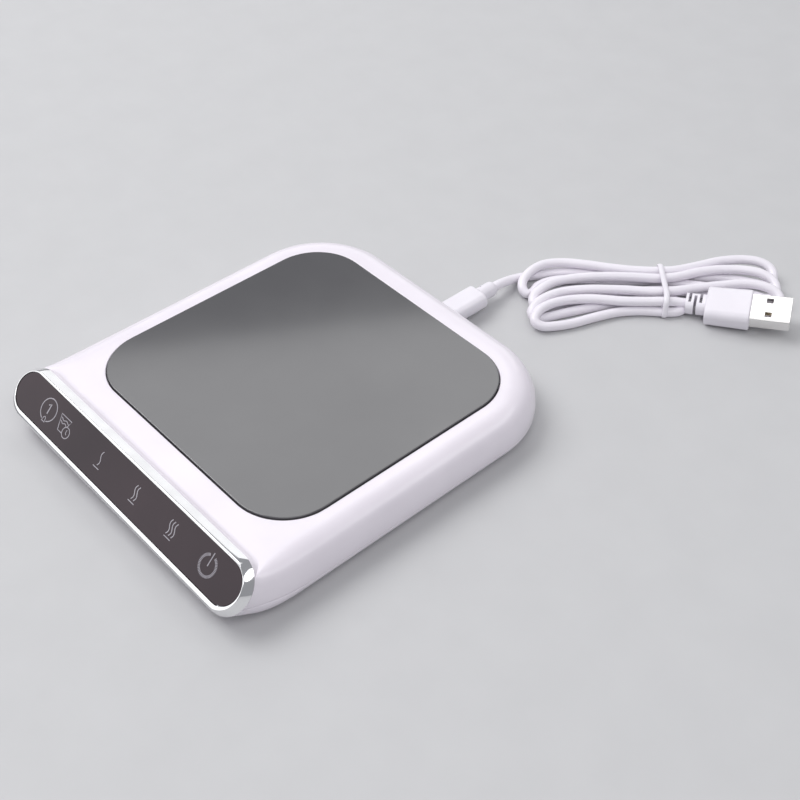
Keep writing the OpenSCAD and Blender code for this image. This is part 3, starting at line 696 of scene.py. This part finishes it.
# Key marks are in millimetres on the panel's face: x along the bar and v up it.
def stroke(line, width, closed=False):
    """Points and faces of a thin printed line along 2-D points."""
    line = np.array(line) * MM
    n = len(line)
    if closed:
        padded = np.vstack([line[-1:], line, line[:1]])
    else:
        padded = np.vstack([2 * line[:1] - line[1:2], line, 2 * line[-1:] - line[-2:-1]])
    along = padded[2:] - padded[:-2]
    along /= np.linalg.norm(along, axis=1)[:, None]
    across = np.column_stack([-along[:, 1], along[:, 0]]) * width * MM / 2
    both = np.vstack([line + across, line - across])
    points = [on_bar(both[:, 0], both[:, 1], -PANEL_DROP + side * PRINT_T) for side in (-1, 1)]
    faces = []
    for k in range(n if closed else n - 1):
        j = (k + 1) % n
        faces += [(2 * n + k, 3 * n + k, 3 * n + j, 2 * n + j), (k, j, n + j, n + k),
                  (k, 2 * n + k, 2 * n + j, j), (n + k, n + j, 3 * n + j, 3 * n + k)]
    if not closed:
        faces += [(0, n, 3 * n, 2 * n), (n - 1, 3 * n - 1, 4 * n - 1, 2 * n - 1)]
    return np.vstack(points), faces


def circle(x, v, r, n, start=0, end=360):
    """n points of a circle, or of its part between two angles."""
    turn = np.radians(np.linspace(start, end, n, endpoint=end - start < 360))
    return [(x + r * math.cos(a), v + r * math.sin(a)) for a in turn]


def timer_marks(x, v):
    """A ring round a plain numeral, and a small bell on the ring."""
    bell = [(-0.7, -0.5), (-0.5, -0.1), (-0.4, 0.5), (0, 0.8), (0.4, 0.5), (0.5, -0.1), (0.7, -0.5)]
    return [stroke(circle(x, v, 3.7, 44, -72, 252), 0.31),
            stroke([(x - 1.0, v + 1.2), (x, v + 2.0), (x, v - 1.4)], 0.45),
            stroke([(x + 1.25 * a, v + 1.25 * b - 3.4) for a, b in bell], 0.25, closed=True)]


def cup_marks(x, v):
    """A tapered glass with two wavy levels, and a small clock beside its foot."""
    cup = [(2.0, 0.1), (2.75, 2.3), (-2.75, 2.3), (-1.15, -2.6), (1.1, -2.6)]
    marks = [stroke([(x + a, v + b) for a, b in cup], 0.31)]
    for level, reach in [(1.15, 2.1), (0.15, 1.75)]:
        line = [(x + a * reach, v + level + 0.24 * math.sin(a * 5)) for a in np.linspace(-1, 1, 18)]
        marks.append(stroke(line, 0.25))
    x, v = x + 2.65, v - 1.6
    marks.append(stroke(circle(x, v, 1.75, 32), 0.28, closed=True))
    marks.append(stroke([(x, v + 1.0), (x, v - 0.1), (x + 0.6, v - 0.45)], 0.25))
    return marks


def heat_marks(x, lines):
    """Upright S-shaped steam lines over a short bar."""
    marks = []
    for k in range(lines):
        middle = x + (k - (lines - 1) / 2) * 1.25
        steam = [(middle + 0.45 * math.sin(2 * math.pi * t), 0.6 + 4.6 * (t - 0.5))
                 for t in np.linspace(0, 1, 16)]
        marks.append(stroke(steam, 0.3))
    marks.append(stroke([(x - 1.5, -2.5), (x + 1.5, -2.5)], 0.26))
    return marks


def power_marks(x, v):
    """A ring of fine radial ticks, open at the top, and a line."""
    marks = []
    for a in np.radians(np.arange(112, 428, 7.5)):
        tick = [(x + r * math.cos(a), v + r * math.sin(a)) for r in (2.75, 3.6)]
        marks.append(stroke(tick, 0.22))
    marks.append(stroke([(x, v - 0.2), (x, v + 4.2)], 0.3))
    return marks


def key_prints():
    marks = timer_marks(-40.4, 0.1) + cup_marks(-31.85, 0.1)
    for lines, x in [(1, -11.2), (2, 7.7), (3, 26.2)]:
        marks += heat_marks(x, lines)
    marks += power_marks(43.7, 0.2)
    points, faces = join_parts(marks)
    piece = add_piece("key_prints", points, faces, PRINT, "warmer")
    face_outwards(piece)
    piece.data.shade_flat()


chrome_bezel()
touch_panel()
key_prints()

# ---- Lead: one cord from the device plug to the charger plug, folded into a hank ----
CORD_D = 3.4 * MM
HANK_AT = np.array([40.7, 139.2, 0]) * MM
HANK_TURN = math.radians(48.2)
PLUG_Y = BACK_Y + 0.3 * MM
GRIP_L, GRIP_W, GRIP_T = 16.6 * MM, 10 * MM, 6 * MM
RELIEF_L = 7.3 * MM
USB_AT = np.array([70.1, 149.9, 6.3]) * MM
USB_TURN, USB_NOSE, USB_ROLL = (math.radians(a) for a in (30.7, 5.8, 11.1))
USB_GRIP_L, USB_GRIP_W, USB_GRIP_T = 15.5 * MM, 15 * MM, 7.5 * MM
USB_RELIEF_L = 7 * MM
USB_LEVEL = np.array([math.cos(USB_TURN), math.sin(USB_TURN), 0])
USB_DIR = USB_LEVEL * math.cos(USB_NOSE) + Z_AXIS * math.sin(USB_NOSE)

# Route in the hank's frame, in millimetres: x along the runs, y away from the charger plug.
# LOW and UP are the heights of the lower and the upper strands.
LOW, UP = 1.75, 5.15
ROUTE = [
    # run from the device plug, and along the back at the bottom
    (-54.7, 6.5, 3.1), (-50.8, 9.1, 2.1), (-44.5, 10.9, LOW), (-38.4, 12.2, LOW), (-29.5, 12.6, LOW),
    (-16, 11.6, LOW), (-2, 10.7, LOW), (6, 10.0, LOW), (13.6, 9.5, LOW), (21, 9.3, LOW),
    (28, 7.9, LOW), (34, 5.8, LOW),
    # first fold on the right, and back as the farthest upper strand
    (36.8, 5.2, LOW), (39.8, 6.5, 2.4), (40.7, 9.1, 3.4), (39.7, 12.0, 4.4), (36.6, 14.4, 5.0),
    (31.2, 15.7, UP), (22.4, 14.9, UP), (13.4, 11.9, UP), (5.1, 9.4, UP), (-2, 8.8, UP), (-10.3, 9.3, UP),
    (-19, 10.8, UP), (-27.6, 12.8, UP), (-36.3, 13.9, UP), (-43, 12.6, UP),
    # first fold on the left, and on as the second lower strand
    (-47.7, 8.9, 4.9), (-50.6, 4.6, 4.2), (-51.0, 1.4, 3.2), (-49.6, -0.4, 2.1), (-47.3, 0.8, LOW),
    (-45.4, 4.0, LOW), (-42.0, 6.6, LOW), (-36, 8.2, LOW), (-26, 8.5, LOW), (-13, 7.8, LOW),
    (-2, 7.2, LOW), (6, 6.0, LOW), (15, 4.2, LOW), (25, 1.9, LOW), (32.5, -1.2, LOW),
    # second fold on the right
    (36, -2.8, LOW), (39.1, -1.4, 2.2), (40.2, 1.4, 3.3), (39.2, 4.6, 4.4), (35.6, 7.5, UP),
    (30.5, 9.3, UP), (22, 9.8, UP), (12.9, 8.2, UP), (5, 5.5, UP), (-2, 4.7, UP), (-10, 5.3, UP),
    (-19.5, 5.8, UP), (-30.5, 5.0, UP), (-39.5, 2.5, UP), (-44.2, -0.9, 5.0),
    # second fold on the left
    (-47.4, -4.5, 4.3), (-47.7, -7.2, 3.2), (-45.4, -8.7, 2.2), (-41.5, -7.8, LOW),
    (-36, -5.6, LOW), (-26, -2.3, LOW), (-14, 0.6, LOW), (-2, 1.9, LOW), (6, 1.4, LOW),
    (13, 0.3, LOW), (21, -1.6, LOW), (28, -3.6, LOW), (34, -6.2, LOW),
    # third fold on the right
    (36.4, -7.9, LOW), (39.5, -7.1, 2.5), (40.2, -4.6, 3.6), (38.2, -1.6, 4.7), (33.6, 0.7, UP),
    (28.2, 1.5, UP), (19.9, 0.5, UP), (11.4, -0.9, UP), (3.5, -2.5, UP), (-3.3, -3.1, UP),
    (-16.1, -2.0, UP), (-29, -1.8, UP), (-37.8, -3.4, UP), (-44.2, -6.9, 5.1),
    # third fold on the left
    (-47.6, -10.4, 4.5), (-48.8, -13.1, 3.3), (-46.7, -14.2, 2.0), (-42.4, -12.8, LOW),
    (-36.5, -10.7, LOW), (-27.2, -7.9, LOW), (-18, -5.6, LOW), (-8, -3.6, LOW), (-2, -3.1, LOW),
    # short fold that the charger plug covers
    (2.0, -3.5, LOW), (4.9, -5.0, LOW), (5.8, -7.3, LOW), (4.4, -9.6, LOW), (1.0, -10.4, LOW),
    # back along the near side, round the last fold, and on top to the charger plug
    (-3, -10.1, LOW), (-10, -9.6, LOW), (-17.5, -10.3, LOW), (-25.6, -12.9, LOW), (-34.5, -16.5, LOW),
    (-41, -18.2, 1.9), (-45.4, -18.8, 2.4), (-48.0, -17.6, 3.5), (-46.8, -14.0, 4.7), (-42.5, -10.3, 5.1),
    (-36.1, -7.9, UP), (-27.4, -7.1, UP), (-16.9, -8.3, UP), (-8, -8.6, UP), (-2, -8.5, UP),
    (1.5, -8.0, 4.6),
]

# Wire tie: (y, z) of its loop round the strands, and half its section, in the same millimetres.
TIE_LOOP = [(-12.0, 1.7), (-11.3, 4.2), (-10.3, 6.3), (-8.4, 7.05), (-3, 7.0), (4.6, 7.05), (8.6, 7.1),
            (10.3, 6.6), (11.4, 4.9), (12.3, 3.1), (12.6, 1.9), (12.0, 1.0), (10.4, 0.8), (0, 0.8),
            (-9.7, 0.8), (-11.5, 1.0)]
TIE_MIDDLE = np.array([0, 1.0, 3.7])
TIE_HALF_W, TIE_HALF_T = 1.05, 0.5


def on_hank(p):
    """A point of the hank's frame, in millimetres, as a world point."""
    x, y, z = p * MM
    c, s = math.cos(HANK_TURN), math.sin(HANK_TURN)
    return HANK_AT + np.array([x * c - y * s, x * s + y * c, z])


def blend(p, q, p_at, q_at, u):
    """The point at u on the line that passes p at p_at and q at q_at."""
    return (q_at - u) / (q_at - p_at) * p + (u - p_at) / (q_at - p_at) * q


def smooth_path(points, step):
    """Centripetal Catmull-Rom curve through the points, resampled at even steps."""
    padded = np.array([2 * points[0] - points[1], *points, 2 * points[-1] - points[-2]])
    dense = []
    for k in range(len(padded) - 3):
        p = padded[k:k + 4]
        t = np.append(0, np.cumsum(np.sqrt(np.linalg.norm(np.diff(p, axis=0), axis=1))))
        for u in np.linspace(t[1], t[2], 24, endpoint=False):
            a = [blend(p[j], p[j + 1], t[j], t[j + 1], u) for j in range(3)]
            b = [blend(a[j], a[j + 1], t[j], t[j + 2], u) for j in range(2)]
            dense.append(blend(b[0], b[1], t[1], t[2], u))
    dense.append(points[-1])
    dense = np.array(dense)
    length = np.append(0, np.cumsum(np.linalg.norm(np.diff(dense, axis=0), axis=1)))
    at = np.linspace(0, length[-1], int(length[-1] / step) + 1)
    return np.column_stack([np.interp(at, length, dense[:, k]) for k in range(3)])


def tube_rings(path, radius):
    """Rings of a round section along a path, carried forward without twist."""
    along = np.gradient(path, axis=0)
    along /= np.linalg.norm(along, axis=1)[:, None]
    side = np.cross(along[0], Z_AXIS)
    turn = np.linspace(0, 2 * math.pi, 18, endpoint=False)[:, None]
    rings = []
    for point, ahead in zip(path, along):
        side = side - ahead * side.dot(ahead)
        side /= np.linalg.norm(side)
        up = np.cross(side, ahead)
        rings.append(point + radius * (np.cos(turn) * side + np.sin(turn) * up))
    return rings


def lead_cord():
    """The cord, with its middle line and the point where it leaves the device plug's relief."""
    start = np.array([0, PLUG_Y + GRIP_L + RELIEF_L, SOCKET_H])
    end = USB_AT - (USB_GRIP_L + USB_RELIEF_L) * USB_DIR
    leave = [start, start + np.array([0, 2, 0]) * MM, start + np.array([-0.2, 5, -0.6]) * MM]
    path = smooth_path([*leave, *(on_hank(np.array(p)) for p in ROUTE), end], 1.1 * MM)
    piece = loft("lead_cord", tube_rings(path, CORD_D / 2), LEAD, "lead", 60)
    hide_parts("cord_run", "cord_hank", "cord_tail")
    return piece, path, start


def wire_tie():
    """A soft tie round the hank: its section follows the strands and leans as it goes round."""
    points = [np.array([0, y, z]) for y, z in TIE_LOOP + TIE_LOOP[:3]]
    loop = smooth_path(points, 0.5)
    # One full turn, from the second point to the same point again.
    half = len(loop) // 2
    start = np.argmin(np.linalg.norm(loop - points[1], axis=1))
    stop = half + np.argmin(np.linalg.norm(loop[half:] - points[-2], axis=1))
    loop = loop[start:stop]
    along = np.roll(loop, -1, axis=0) - np.roll(loop, 1, axis=0)
    along /= np.linalg.norm(along, axis=1)[:, None]
    turn = np.linspace(0, 2 * math.pi, 12, endpoint=False)[:, None]
    rings = []
    for p, ahead in zip(loop, along):
        out = np.cross(ahead, X_AXIS)
        if out.dot(p - TIE_MIDDLE) < 0:
            out = -out
        lean = -0.75 - 0.015 * max(0, -4 - p[1]) ** 2
        middle = p + lean * X_AXIS + 0.25 * out
        ring = middle + TIE_HALF_W * np.cos(turn) * X_AXIS + TIE_HALF_T * np.sin(turn) * out
        rings.append([on_hank(q) for q in ring])
    piece = loft_round("wire_tie", rings, GRIP, "lead", 60)
    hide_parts("cable_tie")
    return piece


def soft_ends(length, w, h, r, edge, taper=0.0):
    """Sections of a block whose two end edges are rounded, and whose far end may be narrower."""
    near = round_edge(edge, [0, 20, 45, 70, 90])
    far = [(length - s, inset + taper) for s, inset in reversed(near)]
    return [(s, w - 2 * inset, h - 2 * inset, r - inset / 2) for s, inset in near + far]


def grip_block(name, origin, axes, sections, arc):
    """A moulded grip: rounded rectangles (distance, width, height, corner) along its first axis."""
    axis, across, up = axes
    least_flat = 0.01 * MM
    rings = []
    for s, w, h, r in sections:
        outline = rounded_square(w, h, min(r, w / 2 - least_flat, h / 2 - least_flat), arc)
        rings.append(origin + outline[:, :1] * across + outline[:, 1:] * up + s * axis)
    return loft(name, rings, GRIP, "lead", 35)


def device_plug():
    sections = soft_ends(GRIP_L, GRIP_W, GRIP_T, 2.7 * MM, 0.7 * MM)
    origin = np.array([0, PLUG_Y, SOCKET_H])
    grip = grip_block("plug_body", origin, (Y_AXIS, X_AXIS, Z_AXIS), sections, 12)
    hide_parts("plug_grip")
    return grip


def charger_plug():
    right = np.array([-math.sin(USB_TURN), math.cos(USB_TURN), 0])
    up = np.cross(USB_DIR, right)
    across = right * math.cos(USB_ROLL) + up * math.sin(USB_ROLL)
    above = up * math.cos(USB_ROLL) - right * math.sin(USB_ROLL)
    sections = soft_ends(USB_GRIP_L, USB_GRIP_W, USB_GRIP_T, 2.6 * MM, 0.6 * MM, 0.3 * MM)
    grip = grip_block("usb_body", USB_AT, (-USB_DIR, across, above), sections, 10)
    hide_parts("usb_a_grip")
    return grip


def soften_node(name, width):
    """Rounds a CAD node's edges for the light, without moving its shape."""
    nodes[name].data.shade_smooth()
    bevel = nodes[name].modifiers.new("edge", "BEVEL")
    bevel.width, bevel.segments = width, 2
    bevel.limit_method = "ANGLE"
    bevel.angle_limit = math.radians(35)
    bevel.harden_normals = True


cord, cord_path, cord_exit = lead_cord()
tie = wire_tie()
device_grip = device_plug()
charger_grip = charger_plug()
soften_node("usb_a_shell", 0.12 * MM)
soften_node("usb_a_relief", 0.2 * MM)
soften_node("plug_relief", 0.12 * MM)

# ---- Floor and light ----
FLOOR_SIZE = 6.0
WORLD_COLOUR = (0.75, 0.76, 0.8, 1)
WORLD_STRENGTH = 0.42
PART_MIDDLE = (0.02, 0.04, 0)
BAR_MIDDLE = (0, -0.06, 0.02)
# Name, place, target, width and height, watts and shape of each area light.
LIGHTS = [
    ("key", (-0.7, -0.35, 1.15), PART_MIDDLE, (0.8, 0.9), 9.5, "RECTANGLE"),
    ("left", (-1.05, -0.12, 1.25), PART_MIDDLE, (0.9, 0.9), 2.3, "RECTANGLE"),
    ("sheet", (-0.87, 0.575, 1.275), PART_MIDDLE, (0.96, 0.62), 2.7, "RECTANGLE"),
    ("top", (-0.3, 0.62, 1.05), (0.07, 0.15, 0), (0.45, 0.5), 0.55, "RECTANGLE"),
    ("right", (0.6, -0.32, 1.05), PART_MIDDLE, (0.9, 0.6), 4.4, "RECTANGLE"),
    ("spark", (0.66, 0.7, 0.8), (0.06, -0.06, 0.02), (1.0, 0.32), 1.3, "ELLIPSE"),
    ("low_back", (-0.75, 0.75, 0.4), BAR_MIDDLE, (1.1, 0.46), 1.25, "RECTANGLE"),
    ("low_front", (-0.65, -0.8, 0.33), BAR_MIDDLE, (1.1, 0.34), 1.2, "RECTANGLE"),
]


def floor():
    line = np.linspace(-FLOOR_SIZE / 2, FLOOR_SIZE / 2, 3)
    piece = mesh_object("floor", [(x, y, 0) for y in line for x in line], grid_faces(3, 3, False))
    piece.data.materials.append(FLOOR)


def area_light(name, at, target, size, power, shape):
    data = bpy.data.lights.new(name, "AREA")
    data.shape = shape
    data.size, data.size_y = size
    data.energy = power
    lamp = add_object(name, data)
    lamp.location = at
    lamp.rotation_mode = "QUATERNION"
    lamp.rotation_quaternion = (Vector(target) - Vector(at)).to_track_quat("-Z", "Y")


def studio():
    world = bpy.data.worlds.new("studio")
    world.use_nodes = True
    background = world.node_tree.nodes["Background"]
    background.inputs["Color"].default_value = WORLD_COLOUR
    background.inputs["Strength"].default_value = WORLD_STRENGTH
    bpy.context.scene.world = world
    for light in LIGHTS:
        area_light(*light)
    bpy.context.scene.view_settings.view_transform = "Standard"


floor()
studio()
